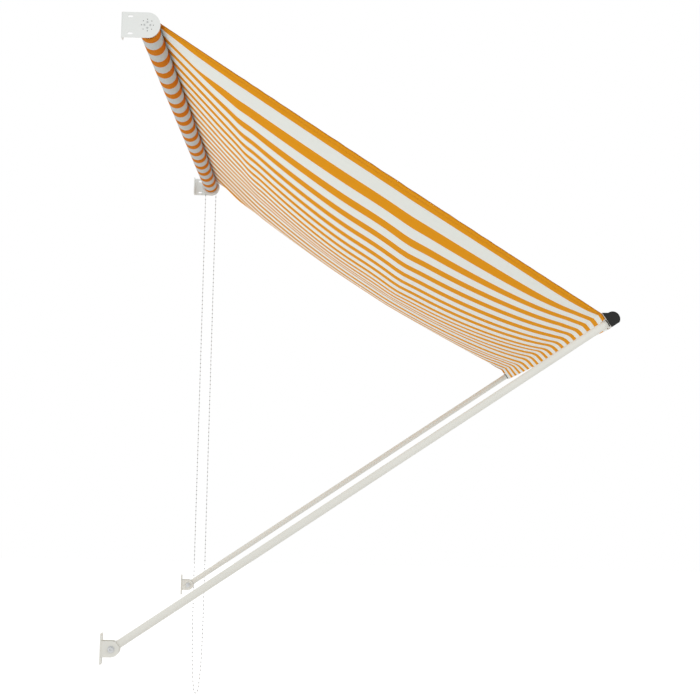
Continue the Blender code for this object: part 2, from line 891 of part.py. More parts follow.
def make_arm(side, arm_empty):
    x = station(side, arm_inset)
    tube_end = arm_length - fit_gap - arm_plug_flange - fit_gap
    inner = arm_radius - arm_wall
    tube = [
        (arm_tube_start, inner),
        (arm_tube_start, arm_radius),
        (tube_end, arm_radius),
        (tube_end, inner),
    ]
    tube_shape = turned_along_arm(x, tube, round_sides)
    add_object(f"arm_tube_{side}", tube_shape, [white_metal], arm_empty)

    half = cheek_outer_half - cheek_thickness - 2 * fit_gap
    eye_end = arm_tube_start - fit_gap
    eye = arc((0.0, 0.0), eye_radius, math.pi / 2, -math.pi / 2, eye_steps)
    eye += [(-eye_end, -eye_radius), (-eye_end, eye_radius)]
    bore = circle((0.0, 0.0), bolt_radius + fit_gap + bush_wall + fit_gap, round_sides)
    block_shape = slab_across([eye, bore], x - half, x + half)
    tongue = add_object(f"arm_tongue_{side}", block_shape, [white_plastic], arm_empty)
    stem_radius = inner - fit_gap
    stem_end = arm_tube_start + tongue_plug_depth
    stem_start = eye_radius + tongue_neck
    stem = [(stem_start, 0.0), (stem_start, stem_radius), (stem_end, stem_radius), (stem_end, 0.0)]
    stem_shape = turned_along_arm(x, stem, round_sides)
    combine(tongue, add_object(f"tongue_stem_{side}", stem_shape, [white_plastic], arm_empty), "UNION")

    bush_inner = bolt_radius + fit_gap
    bush_outer = bush_inner + bush_wall
    bush = [
        (x - half, bush_inner),
        (x - half, bush_outer),
        (x + half, bush_outer),
        (x + half, bush_inner),
    ]
    bush_shape = turned(bush, round_sides, (0, 0, 0), (1, 0, 0), (0, 1, 0))
    add_object(f"pivot_bush_{side}", bush_shape, [dark_plastic], arm_empty)

    flange_start = tube_end + fit_gap
    screw_bore = arm_screw_radius + fit_gap
    deep = arm_length - arm_screw_bite - fit_gap
    plug = [
        (flange_start - arm_plug_depth, 0.0),
        (flange_start - arm_plug_depth, stem_radius - arm_plug_lead_depth),
        (flange_start - arm_plug_depth + arm_plug_lead_length, stem_radius),
        (flange_start, stem_radius),
        (flange_start, arm_radius),
        (arm_length - fit_gap, arm_radius),
        (arm_length - fit_gap, screw_bore),
        (deep, screw_bore),
        (deep, 0.0),
    ]
    plug_shape = turned_along_arm(x, plug, round_sides)
    add_object(f"arm_plug_{side}", plug_shape, [black_plastic], arm_empty)

    seat = arm_length + bar_wall + fit_gap
    screw = [
        (arm_length - arm_screw_bite, 0.0),
        (arm_length - arm_screw_bite, arm_screw_radius),
        (seat, arm_screw_radius),
        (seat, arm_screw_head_radius),
        (seat + arm_screw_head_height, arm_screw_head_radius),
        (seat + arm_screw_head_height, 0.0),
    ]
    add_object(f"arm_screw_{side}", turned_along_arm(x, screw, small_sides), [steel], arm_empty)


# Lower brackets


def make_lower_bracket(side):
    x = station(side, arm_inset)
    corners = rounded_rectangle(foot_width, foot_height, foot_corner_radius)
    plate = [(x + across, up) for across, up in corners]
    loops = [plate]
    for up in (-foot_hole_height, foot_hole_height):
        loops.append(circle((x, up), foot_hole_radius, small_sides))
    shape = slab(loops, lambda across, up: (across, pivot_reach, up), (0, -foot_thickness, 0))
    bracket = add_object(f"lower_bracket_{side}", shape, [white_metal], location=pivot_place)
    inside = foot_thickness / 2
    wall_end = pivot_reach - inside
    outline = arc((0.0, 0.0), cheek_radius, math.pi / 2, 1.5 * math.pi, cheek_steps)
    outline += [(wall_end, -cheek_radius), (wall_end, cheek_radius)]
    bore = circle((0.0, 0.0), bolt_radius + fit_gap, round_sides)
    cheeks = []
    for direction in (-1, 1):
        outer = x + direction * cheek_outer_half
        cheeks.append(slab_across([outline, bore], outer - direction * cheek_thickness, outer))
    pair = add_object(f"bracket_cheeks_{side}", merge_shapes(cheeks), [white_metal], location=pivot_place)
    combine(bracket, pair, "UNION")


def make_pivot_bolt(side):
    # The head is on the outer side, and the nut on the inner side.
    outer = arm_inset - cheek_outer_half
    inner = arm_inset + cheek_outer_half
    washer_out = outer - fit_gap - washer_thickness
    head = washer_out - fit_gap
    washer_in = inner + fit_gap + washer_thickness
    nut = washer_in + fit_gap
    tail = nut + nut_height + bolt_tail
    top = head - bolt_head_height
    bolt = [
        (tail, 0.0),
        (tail, bolt_radius - bolt_chamfer),
        (tail - bolt_chamfer, bolt_radius),
        (head, bolt_radius),
        (head, bolt_head_radius),
        (top + bolt_chamfer, bolt_head_radius),
        (top, bolt_head_radius - bolt_chamfer),
        (top, 0.0),
    ]
    bolt_shape = turned_across(side, bolt, round_sides)
    made = add_object(f"pivot_bolt_{side}", bolt_shape, [steel], location=pivot_place)
    hexagon = circle((0.0, 0.0), bolt_socket_radius, 6)
    deep = top + bolt_socket_depth
    socket = slab_across([hexagon], station(side, top - cut_margin), station(side, deep))
    cut = add_object(f"bolt_socket_{side}", socket, [steel], location=pivot_place)
    combine(made, cut, "DIFFERENCE")

    bore = bolt_radius + fit_gap
    washers = (("outer", washer_out, outer - fit_gap), ("inner", inner + fit_gap, washer_in))
    for where, start, end in washers:
        ring = [(start, bore), (start, washer_radius), (end, washer_radius), (end, bore)]
        washer = turned_across(side, ring, round_sides)
        add_object(f"pivot_washer_{where}_{side}", washer, [steel], location=pivot_place)

    loops = [circle((0.0, 0.0), nut_radius, 6), circle((0.0, 0.0), bore, round_sides)]
    nut_shape = slab_across(loops, station(side, nut), station(side, nut + nut_height))
    add_object(f"pivot_nut_{side}", nut_shape, [steel], location=pivot_place)


clear_scene()

white_metal = make_material("white_metal", (0.78, 0.77, 0.72), 0.42)
bracket_white = make_material("bracket_white", (0.80, 0.82, 0.80), 0.45)
bare_metal = make_material("bare_metal", (0.62, 0.63, 0.64), 0.40, 0.9)
steel = make_material("steel", (0.55, 0.56, 0.57), 0.35, 1.0)
white_plastic = make_material("white_plastic", (0.78, 0.78, 0.75), 0.50)
dark_plastic = make_material("dark_plastic", (0.10, 0.10, 0.10), 0.55)
black_plastic = make_material("black_plastic", (0.035, 0.035, 0.033), 0.50)
orange_cloth = make_material("orange_cloth", (0.78, 0.29, 0.015), 0.90)
white_cloth = make_material("white_cloth", (0.80, 0.83, 0.81), 0.90)
chain_grey = make_material("chain_grey", (0.62, 0.63, 0.63), 0.45)

groove_centre_up = -bar_bottom + bar_wall + groove_radius
spigot_start = bracket_thickness + fit_gap
hub_start = bracket_thickness + fit_gap + housing_wall + fit_gap
right_plug_inset = bracket_thickness + fit_gap + housing_depth + housing_plug_gap
roller_place = (0.0, -roller_reach, 0.0)
pivot_place = (0.0, -pivot_reach, -pivot_drop)

roller_axis = bpy.data.objects.new("roller_axis", None)
roller_axis.location = roller_place
bpy.context.scene.collection.objects.link(roller_axis)

arm_axis = bpy.data.objects.new("arm_axis", None)
arm_axis.location = pivot_place
arm_axis.rotation_euler = (-arm_angle, 0.0, 0.0)
bpy.context.scene.collection.objects.link(arm_axis)

for side in sides:
    make_upper_bracket(side, bracket_white)
    make_lower_bracket(side)
    make_pivot_bolt(side)
    make_arm(side, arm_axis)
    make_end_cap(side, arm_axis)
idler_flange = (spigot_flange_radius, spigot_flange_thickness)
drive_flange = (hub_flange_radius, hub_flange_thickness)
make_spigot("idler_spigot", "left", spigot_start, idler_flange, white_plastic)
make_spigot("drive_spigot", "right", hub_start, drive_flange, white_plastic)
make_housing()
make_chain_wheel(roller_axis)
make_bead_chain(chain_grey)
make_roller(roller_axis)
make_front_bar(arm_axis)
make_canopy()
bpy.context.view_layer.update()
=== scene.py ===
import json
import math

import bmesh
import bpy
from mathutils import Matrix, Vector


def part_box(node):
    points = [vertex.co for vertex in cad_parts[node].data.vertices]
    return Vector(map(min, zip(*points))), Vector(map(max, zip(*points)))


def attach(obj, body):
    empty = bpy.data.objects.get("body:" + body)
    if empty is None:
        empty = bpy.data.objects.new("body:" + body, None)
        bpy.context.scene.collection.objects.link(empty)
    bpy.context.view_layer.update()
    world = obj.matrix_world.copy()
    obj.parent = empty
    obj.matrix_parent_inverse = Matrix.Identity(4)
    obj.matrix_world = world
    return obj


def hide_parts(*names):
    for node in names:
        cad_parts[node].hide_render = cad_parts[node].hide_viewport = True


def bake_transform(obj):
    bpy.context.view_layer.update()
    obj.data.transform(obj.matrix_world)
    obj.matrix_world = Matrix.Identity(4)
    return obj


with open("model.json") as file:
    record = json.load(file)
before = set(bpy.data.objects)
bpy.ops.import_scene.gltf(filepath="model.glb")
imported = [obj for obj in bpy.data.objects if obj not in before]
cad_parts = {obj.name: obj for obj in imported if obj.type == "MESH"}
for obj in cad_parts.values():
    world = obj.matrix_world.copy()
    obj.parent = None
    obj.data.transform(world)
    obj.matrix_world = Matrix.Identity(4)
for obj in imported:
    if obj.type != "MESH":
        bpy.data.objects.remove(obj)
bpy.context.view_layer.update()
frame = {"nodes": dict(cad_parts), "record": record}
scene = bpy.context.scene
print("frame loaded")


# Camera: low at the awning's left side, looking a little up
view = {
    "place": (-3.4238, -0.5325, -1.1082),
    "turnToFront": 1.002,  # degrees away from straight along the wall
    "lookUp": 5.035,
    "roll": 1.223,
    "lens": 71.362,
    "sensor": 36.0,
    "farthest": 60,
}


def placeCamera():
    turn = math.radians(view["turnToFront"])
    rise = math.radians(view["lookUp"])
    roll = math.radians(view["roll"])
    level = math.cos(rise)
    ahead = Vector((level * math.cos(turn), -level * math.sin(turn), math.sin(rise)))
    right = ahead.cross(Vector((0, 0, 1))).normalized()
    up = right.cross(ahead)
    leanRight = right * math.cos(roll) + up * math.sin(roll)
    leanUp = up * math.cos(roll) - right * math.sin(roll)
    lens = bpy.data.cameras.new("sideCamera")
    lens.lens = view["lens"]
    lens.sensor_width = view["sensor"]
    lens.clip_end = view["farthest"]
    camera = bpy.data.objects.new("sideCamera", lens)
    camera.matrix_world = Matrix([*zip(leanRight, leanUp, -ahead, view["place"]), (0, 0, 0, 1)])
    scene.collection.objects.link(camera)
    scene.camera = camera


placeCamera()
print("camera placed")


# Helpers for meshes
def newPiece(name, shape, material, smooth=True, sharpAngle=32):
    mesh = bpy.data.meshes.new(name)
    bmesh.ops.recalc_face_normals(shape, faces=shape.faces)
    shape.to_mesh(mesh)
    shape.free()
    if material:
        mesh.materials.append(material)
    if smooth:
        mesh.shade_smooth()
        mesh.set_sharp_from_angle(angle=math.radians(sharpAngle))
    piece = bpy.data.objects.new(name, mesh)
    scene.collection.objects.link(piece)
    return piece


def joinRings(shape, rings):
    for first, second in zip(rings, rings[1:]):
        for step in range(len(first)):
            after = (step + 1) % len(first)
            shape.faces.new((first[step], first[after], second[after], second[step]))


def addTube(shape, points, radius, sides):
    # A closed tube along points, with rings square to the run
    rings = []
    side = Vector((1, 0, 0))
    for number, point in enumerate(points):
        before = points[max(number - 1, 0)]
        after = points[min(number + 1, len(points) - 1)]
        run = (after - before).normalized()
        side = (side - run * side.dot(run)).normalized()
        other = run.cross(side)
        ring = []
        for step in range(sides):
            angle = 2 * math.pi * step / sides
            spoke = side * math.cos(angle) + other * math.sin(angle)
            ring.append(shape.verts.new(point + spoke * radius))
        rings.append(ring)
    joinRings(shape, rings)
    shape.faces.new(rings[0][::-1])
    shape.faces.new(rings[-1])


def addBall(shape, centre, run, radius, stretch, sides, rows):
    # A bead, a little longer along the run than across it
    run = run.normalized()
    side = run.orthogonal().normalized()
    other = run.cross(side)
    reach = run * radius * stretch
    rings = []
    for row in range(1, rows):
        angle = math.pi * row / rows
        ring = []
        for step in range(sides):
            turn = 2 * math.pi * step / sides
            spoke = (side * math.cos(turn) + other * math.sin(turn)) * radius * math.sin(angle)
            ring.append(shape.verts.new(centre + spoke + reach * math.cos(angle)))
        rings.append(ring)
    top = shape.verts.new(centre + reach)
    low = shape.verts.new(centre - reach)
    for step in range(sides):
        after = (step + 1) % sides
        shape.faces.new((top, rings[0][step], rings[0][after]))
        shape.faces.new((low, rings[-1][after], rings[-1][step]))
        for first, second in zip(rings, rings[1:]):
            shape.faces.new((first[step], second[step], second[after], first[after]))


def thicken(piece, thickness, edge=None):
    # Gives a sheet its body, half on each side, and its cut edge a darker material, which is
    # painted shade on the edge
    body = piece.modifiers.new("clothBody", "SOLIDIFY")
    body.thickness = thickness
    body.offset = 0.0
    if edge:
        piece.data.materials.append(edge)
        body.material_offset_rim = 1


def applyModifiers(piece):
    graph = bpy.context.evaluated_depsgraph_get()
    done = bpy.data.meshes.new_from_object(piece.evaluated_get(graph))
    piece.modifiers.clear()
    piece.data = done


# Helpers for materials
class Shader:
    # Adds nodes to one material and joins them
    def __init__(self, name):
        self.material = bpy.data.materials.new(name)
        self.material.use_nodes = True
        self.tree = self.material.node_tree
        self.body = self.tree.nodes["Principled BSDF"]

    def feed(self, node, socket, value):
        if isinstance(value, bpy.types.NodeSocket):
            self.tree.links.new(value, node.inputs[socket])
        else:
            node.inputs[socket].default_value = value

    def add(self, kind, **inputs):
        node = self.tree.nodes.new(kind)
        for socket, value in inputs.items():
            self.feed(node, socket, value)
        return node

    def mathNode(self, operation, first, second=0.0):
        node = self.tree.nodes.new("ShaderNodeMath")
        node.operation = operation
        self.feed(node, 0, first)
        self.feed(node, 1, second)
        return node.outputs[0]

    def mixColour(self, share, first, second, blendType="MIX"):
        node = self.tree.nodes.new("ShaderNodeMix")
        node.data_type = "RGBA"
        node.blend_type = blendType
        self.feed(node, 0, share)
        self.feed(node, 6, first)
        self.feed(node, 7, second)
        return node.outputs[2]

    def noise(self, place, scale, detail=2.0, rough=0.5):
        node = self.add("ShaderNodeTexNoise", Vector=place, Scale=scale, Detail=detail,
                        Roughness=rough)
        return node.outputs["Fac"]

    def stretched(self, place, scale):
        return self.add("ShaderNodeMapping", Vector=place, Scale=scale).outputs["Vector"]

    def objectPlace(self, scale=(1, 1, 1)):
        return self.stretched(self.add("ShaderNodeTexCoord").outputs["Object"], scale)

    def bump(self, height, distance, strength):
        node = self.add("ShaderNodeBump", Height=height, Distance=distance, Strength=strength)
        return node.outputs["Normal"]

    def tones(self, pattern, look):
        shade = self.mixColour(pattern, rgba(look["low"]), rgba(look["high"]))
        self.feed(self.body, "Base Color", shade)

    def gloss(self, pattern, look):
        down, up = look["roughSpread"]
        spread = self.add("ShaderNodeMapRange", Value=pattern)
        self.feed(spread, "To Min", look["rough"] - down)
        self.feed(spread, "To Max", look["rough"] + up)
        self.feed(self.body, "Roughness", spread.outputs["Result"])


def rgba(colour):
    return (*colour, 1.0)


def paintedFinish(name, look):
    # Powder coat: a fine orange peel, faint clouds in the colour and dulled patches
    look = {**paint, **look}
    make = Shader(name)
    place = make.objectPlace()
    make.tones(make.noise(place, look["cloudScale"], 3.0), look)
    make.gloss(make.noise(place, look["dullScale"]), look)
    peel = make.noise(place, look["peelScale"])
    make.feed(make.body, "Normal", make.bump(peel, look["peelDepth"], look["peelStrength"]))
    make.body.inputs["Specular IOR Level"].default_value = look["shine"]
    return make.material


def mouldedFinish(name, look):
    # Moulded plastic: fine spark-eroded grain and slow changes of tone
    look = {**moulding, **look}
    make = Shader(name)
    place = make.objectPlace()
    make.tones(make.noise(place, look["toneScale"]), look)
    grain = make.noise(place, look["grainScale"], 3.0, look["grainRough"])
    make.gloss(grain, look)
    make.feed(make.body, "Normal", make.bump(grain, look["grainDepth"], look["grainStrength"]))
    make.body.inputs["Specular IOR Level"].default_value = look["shine"]
    return make.material


def turnedMetalFinish(name, look):
    # Bare metal with fine lines along one direction and a little change in gloss
    look = {**turnedMetal, **look}
    make = Shader(name)
    place = make.objectPlace(look["lines"])
    lines = make.noise(place, look["lineScale"], 4.0, look["lineRough"])
    make.tones(lines, look)
    make.gloss(lines, look)
    make.feed(make.body, "Normal", make.bump(lines, look["lineDepth"], look["lineStrength"]))
    make.body.inputs["Metallic"].default_value = look["metal"]
    return make.material


def canvasFinish(name, look, banded=True):
    # Plain weave canvas with dyed bands. The map gives metres across and along the cloth.
    look = {**canvasLook, **look}
    make = Shader(name)
    source = make.add("ShaderNodeUVMap")
    source.uv_map = "clothMetres"
    flat = source.outputs["UV"]
    parts = make.add("ShaderNodeSeparateXYZ", Vector=flat)
    across, along = parts.outputs[0], parts.outputs[1]

    # Slubs: streaks that run a long way along a few threads
    slubs = make.noise(make.stretched(flat, look["slubStretch"]), 1.0, 3.0, look["slubRough"])
    wefts = make.noise(make.stretched(flat, look["weftStretch"]), 1.0, 3.0, look["slubRough"])
    clouds = make.noise(flat, look["cloudScale"], 3.0)
    shade = make.mixColour(slubs, rgba(look["orangeDeep"]), rgba(look["orange"]))

    if banded:
        # A repeat of one white and one orange, counted from the first white band's edge
        repeat = look["whiteBand"] + look["orangeBand"]
        counted = make.mathNode("SUBTRACT", across, look["firstWhite"])
        share = make.mathNode("FRACT", make.mathNode("DIVIDE", counted, repeat))
        white = make.mathNode("LESS_THAN", share, look["whiteBand"] / repeat)
        pale = make.mixColour(slubs, rgba(look["whiteDeep"]), rgba(look["white"]))
        shade = make.mixColour(white, shade, pale)

    # Threads: warp along the cloth and weft across it, over and under each other
    pitch = 2 * math.pi / look["threadPitch"]
    warp = make.mathNode("SINE", make.mathNode("MULTIPLY", across, pitch))
    weft = make.mathNode("SINE", make.mathNode("MULTIPLY", along, pitch))
    weave = make.mathNode("MULTIPLY", warp, weft)
    gaps = make.mathNode("SUBTRACT", 1.0, weave)
    for pattern, strength, tint in ((wefts, look["weftShare"], look["weftTint"]),
                                    (clouds, look["cloudShare"], look["cloudTint"]),
                                    (gaps, look["gapShare"], look["gapTint"])):
        share = make.mathNode("MULTIPLY", pattern, strength)
        shade = make.mixColour(share, shade, rgba(tint), "MULTIPLY")
    make.feed(make.body, "Base Color", shade)

    height = make.mathNode("ADD", make.mathNode("MULTIPLY", weave, look["weaveHeight"]), slubs)
    threads = make.bump(height, look["threadDepth"], look["threadStrength"])
    rumpled = make.add("ShaderNodeBump", Height=clouds, Distance=look["rumpleDepth"],
                       Strength=look["rumpleStrength"], Normal=threads)
    make.feed(make.body, "Normal", rumpled.outputs["Normal"])
    make.body.inputs["Roughness"].default_value = look["rough"]
    make.body.inputs["Specular IOR Level"].default_value = look["shine"]
    return make.material


def threadFinish(name, look):
    # Twisted sewing thread
    make = Shader(name)
    twist = make.noise(make.objectPlace(look["twists"]), 1.0)
    make.tones(twist, look)
    make.feed(make.body, "Normal", make.bump(twist, look["twistDepth"], look["twistStrength"]))
    make.body.inputs["Roughness"].default_value = look["rough"]
    return make.material


# What the finishes of one kind share. roughSpread is how far the gloss goes down and up.
paint = {"dullScale": 60.0, "roughSpread": (0.05, 0.07), "peelDepth": 0.00018,
         "peelStrength": 0.35, "shine": 0.25}
moulding = {"toneScale": 9.0, "roughSpread": (0.06, 0.08), "grainRough": 0.6,
            "grainDepth": 0.0001, "grainStrength": 0.4}
turnedMetal = {"lineScale": 30.0, "lineRough": 0.65, "roughSpread": (0.08, 0.10),
               "lineDepth": 0.00005, "lineStrength": 0.4, "metal": 1.0}
canvasLook = {
    "orange": (0.870, 0.375, 0.014), "orangeDeep": (0.790, 0.305, 0.009),
    "white": (0.915, 0.945, 0.895), "whiteDeep": (0.855, 0.885, 0.845),
    "whiteBand": 0.0565, "orangeBand": 0.0500, "firstWhite": 0.0525,
    "slubStretch": (420, 14, 1), "weftStretch": (11, 380, 1), "slubRough": 0.6,
    "weftTint": (0.72, 0.66, 0.60), "weftShare": 0.09,
    "cloudTint": (0.75, 0.72, 0.70), "cloudShare": 0.05, "cloudScale": 3.2,
    "gapTint": (0.2, 0.1, 0.04), "gapShare": 0.03,
    "threadPitch": 0.0016, "threadDepth": 0.0004, "threadStrength": 0.35, "weaveHeight": 0.5,
    "rumpleDepth": 0.004, "rumpleStrength": 0.25, "rough": 0.9, "shine": 0.06,
}
finishes = {
    "bracketPaint": {"low": (0.755, 0.775, 0.752), "high": (0.815, 0.832, 0.812),
                     "rough": 0.42, "cloudScale": 7.0, "peelScale": 900.0},
    "armPaint": {"low": (0.715, 0.712, 0.655), "high": (0.765, 0.758, 0.705),
                 "rough": 0.36, "cloudScale": 5.0, "peelScale": 800.0},
    "whiteMoulding": {"low": (0.70, 0.70, 0.665), "high": (0.75, 0.75, 0.715),
                      "rough": 0.48, "grainScale": 1500.0, "shine": 0.25},
    "greyMoulding": {"low": (0.085, 0.085, 0.088), "high": (0.115, 0.115, 0.118),
                     "rough": 0.55, "grainScale": 1500.0, "shine": 0.1},
    "blackMoulding": {"low": (0.018, 0.018, 0.017), "high": (0.028, 0.028, 0.027),
                      "rough": 0.5, "grainScale": 1300.0, "shine": 0.12},
    "chainPlastic": {"low": (0.40, 0.41, 0.41), "high": (0.50, 0.51, 0.51),
                     "rough": 0.45, "grainScale": 1200.0, "grainDepth": 0.00005, "shine": 0.2},
    "zincSteel": {"low": (0.50, 0.51, 0.51), "high": (0.62, 0.63, 0.63),
                  "rough": 0.36, "lines": (40, 6, 6)},
    "rollerAluminium": {"low": (0.60, 0.61, 0.62), "high": (0.70, 0.71, 0.72),
                        "rough": 0.38, "lines": (0.6, 40, 40)},
    "canvas": {},  # as canvasLook says
    # Cloth on the roll: the canvas's colours made deeper, which is painted shade from the roll
    # lying under the canopy
    "woundCanvasPaintedShade": {"orange": (0.670, 0.220, 0.011), "orangeDeep": (0.570, 0.160, 0.007),
                    "white": (0.595, 0.625, 0.620), "whiteDeep": (0.520, 0.550, 0.545)},
    # Cut edges of the cloth: a deep orange, which is painted shade on the sides of the edges
    "canvasEdgePaintedShade": {"orange": (0.420, 0.130, 0.012), "orangeDeep": (0.330, 0.090, 0.008)},
    "seamThread": {"low": (0.496, 0.192, 0.016), "high": (0.62, 0.24, 0.02), "rough": 0.7,
                   "twists": (900, 900, 900), "twistDepth": 0.0001, "twistStrength": 0.4},
}
bracketPaint = paintedFinish("bracketPaint", finishes["bracketPaint"])
armPaint = paintedFinish("armPaint", finishes["armPaint"])
whiteMoulding = mouldedFinish("whiteMoulding", finishes["whiteMoulding"])
greyMoulding = mouldedFinish("greyMoulding", finishes["greyMoulding"])
blackMoulding = mouldedFinish("blackMoulding", finishes["blackMoulding"])
chainPlastic = mouldedFinish("chainPlastic", finishes["chainPlastic"])
zincSteel = turnedMetalFinish("zincSteel", finishes["zincSteel"])
rollerAluminium = turnedMetalFinish("rollerAluminium", finishes["rollerAluminium"])
canvas = canvasFinish("canvas", finishes["canvas"])
woundCanvasPaintedShade = canvasFinish("woundCanvasPaintedShade", finishes["woundCanvasPaintedShade"])
canvasEdgePaintedShade = canvasFinish("canvasEdgePaintedShade", finishes["canvasEdgePaintedShade"], banded=False)
seamThread = threadFinish("seamThread", finishes["seamThread"])
print("finishes made")


# Layout of the awning, in metres: the sizes that its pieces share
awning = {
    "leftEdge": 0.016,  # cloth's left edge
    "rightEdge": 1.956,
    "rollerOut": 0.066,  # roller's axis from the wall
    "rollRadius": 0.0266,
    "tubeRadius": 0.025,
    "pivotOut": 0.0273,
    "pivotDown": 1.549,
    "armLength": 1.465,
    "armAngle": math.radians(34.36),
    "chainAcross": 1.973,
}


def armPoint(along, up):
    # Out from the wall and height of a place beside the arm, measured from its pivot
    angle = awning["armAngle"]
    y = -awning["pivotOut"] - along * math.cos(angle) + up * math.sin(angle)
    z = -awning["pivotDown"] + along * math.sin(angle) + up * math.cos(angle)
    return y, z


# Bead chain: one endless loop over the wheel, hanging almost to the ground
chain = {
    "beadRadius": 0.00225,
    "beadStretch": 1.15,
    "beadSides": 14,
    "beadRows": 8,
    "threadRadius": 0.0005,
    "threadSides": 8,
    "pitch": 0.0154,
    "steps": 3,
    # Front strand from the wheel's top: away from the roller's axis, and height about it
    "route": [
        (0.0030, 0.0198), (0.0105, 0.0170), (0.0170, 0.0105), (0.0200, 0.0000),
        (0.0201, -0.0500), (0.0201, -0.4000), (0.0201, -0.8000), (0.0201, -1.2000),
        (0.0199, -1.6500), (0.0168, -1.8400), (0.0085, -1.9420), (0.0000, -1.9600),
    ],
}


def smoothRoute(points, steps):
    route = []
    last = len(points) - 1
    for number in range(last):
        p0, p1 = points[max(number - 1, 0)], points[number]
        p2, p3 = points[number + 1], points[min(number + 2, last)]
        span = (p2 - p1).length
        leave = (p2 - p0).normalized() * span
        arrive = (p3 - p1).normalized() * span
        for step in range(steps):
            t = step / steps
            route.append(p1 * (2 * t**3 - 3 * t**2 + 1) + leave * (t**3 - 2 * t**2 + t)
                         + p2 * (3 * t**2 - 2 * t**3) + arrive * (t**3 - t**2))
    route.append(points[last])
    return route


def walk(points, pitch):
    # Even places along a route, with the direction at each
    places = []
    carried = pitch / 2
    for first, second in zip(points, points[1:]):
        length = (second - first).length
        while carried <= length:
            places.append((first + (second - first) * (carried / length), second - first))
            carried += pitch
        carried -= length
    return places


def makeChain():
    x, out = awning["chainAcross"], awning["rollerOut"]
    front = [Vector((x, -out - away, up)) for away, up in chain["route"]]
    back = [Vector((x, -out + away, up)) for away, up in reversed(chain["route"][:-1])]
    route = smoothRoute(front + back, chain["steps"])
    shape = bmesh.new()
    addTube(shape, route, chain["threadRadius"], chain["threadSides"])
    for place, run in walk(route, chain["pitch"]):
        addBall(shape, place, run, chain["beadRadius"], chain["beadStretch"],
                chain["beadSides"], chain["beadRows"])
    beads = newPiece("bead_loop", shape, chainPlastic)
    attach(beads, "wall_frame")
    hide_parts("bead_chain")


makeChain()
print("bead chain hung")


# Canopy: the striped cloth from the roller, over the bar's back and into its groove
cloth = {
    "thickness": 0.0008,
    "standOff": 0.0008,  # cloth's middle above the roll and the bar
    "columns": 150,
    "sideColumns": (0.0, 0.006, 0.014, 0.024, 0.0365),  # from the side, closer together there
    "outerBand": 0.0365,  # the part beside each arm, which stops above the arm's end
    "spanRows": 72,
    "wrapRows": 14,
    "crowding": 0.45,  # how much closer the rows stand near both ends
    "wrapAngle": math.radians(24),
    # How far it hangs below a straight line from the roller to the bar
    "sag": 0.134,
    "edgeSag": 0.0033,
    "sideReach": 0.241,
    "sidePower": 1.078,
    "rollPower": 1.068,
    "barPower": 1.145,
    "blendPower": 1.6,
    # Creases across the cloth: place along the span, depth and half width
    "creases": [(0.180, 0.0045, 0.020), (0.505, -0.0035, 0.055), (0.585, 0.0035, 0.030)],
    "creaseFade": {"end": 1.486, "reach": 0.6, "least": 0.25},  # they weaken towards the right
    # The stretched cloth near both arms
    "cornerLift": {"height": 0.0093, "place": 0.814, "halfWidth": 0.200, "reach": 0.300,
                   "fromSide": 0.05, "fromBar": 0.04},
    # The right half hangs a little less
    "rightLift": {"height": 0.026, "begin": 0.716, "reach": 0.617, "fromSide": 0.500},
    # Stiff start at the roller
    "rollerLift": {"height": 0.0120, "place": 0.043, "halfWidth": 0.031, "fromSide": 0.140},
    # Beside both hems
    "hemLift": {"height": 0.0045, "place": 0.0365, "halfWidth": 0.040, "fade": 0.2, "power": 0.3},
    # Soft waves by the roller: distances from the side with the height at each
    "waves": [(0.0, 0.0050), (0.052, 0.0), (0.105, -0.0045), (0.157, 0.0060),
              (0.210, 0.0035), (0.262, 0.0050), (0.400, 0.0045), (0.620, 0.0)],
    "wavePlace": 0.075,
    "waveWidth": 0.050,
    # The bar, measured from the arm's middle line
    "barTop": 0.029,
    "barBottom": 0.014,
    "armRadius": 0.010,
    "armGap": 0.0015,  # between the arm and the cloth above it
    "slotEdge": 0.0117,  # near edge of the bar's groove, from the bar's back
    "grooveUp": -0.0089,
    "grooveGap": 0.0003,
    "weltRadius": 0.0028,
    "cornerSteps": 4,
    # The fold at the bar, which hangs lower towards the middle of the cloth
    "foldDrop": 0.0235,
    "foldLift": 0.0125,  # how much the cloth rises again right at the bar
    "foldRise": 0.040,  # share of the span over which it rises
    "foldSideReach": 0.45,
    "foldSidePower": 1.2,
    "foldStart": 0.984,  # share of the span where the bend begins
    "foldLength": 0.016,  # how far the bend reaches down the bar's back
    "foldRows": 12,
    "foldWander": 0.0016,
    "foldWaves": [(1.0, 9.1, 0.6), (0.6, 23.0, 0.0)],  # share, turn per metre and start
    "touchClear": 1.05,  # rows nearer than this to the roll, in radii, can't be touched first
    "tiny": 1e-6,
    # Where the cloth begins to follow the bar, and where it follows it fully
    "rollerTop": (0.986, -0.100, 0.020),
    "barBackMiddle": (0.986, 0.02),  # across, and up from the arm's middle line
}

# Small ripples that a stretched cloth shows
ripples = {
    "fanHeight": 0.0009,
    "fanAtRoll": (41, 3.0, 7.3, 0.0),  # turn per metre, wander, its turn, start
    "fanAtBar": (37, 2.0, 5.1, 1.0),
    "rollFade": 0.10,  # share of the span over which a fan fades
    "barFade": 0.08,
    "puckerHeight": 0.0006,
    "pucker": (172, 2.2, 23, 0.0),
    "hemReach": 0.03,
    "calmPower": 0.7,
}


def fromSideEdge(x):
    return max(0.0, min(x - awning["leftEdge"], awning["rightEdge"] - x))


def bell(value, middle, halfWidth):
    return math.exp(-(((value - middle) / halfWidth) ** 2))


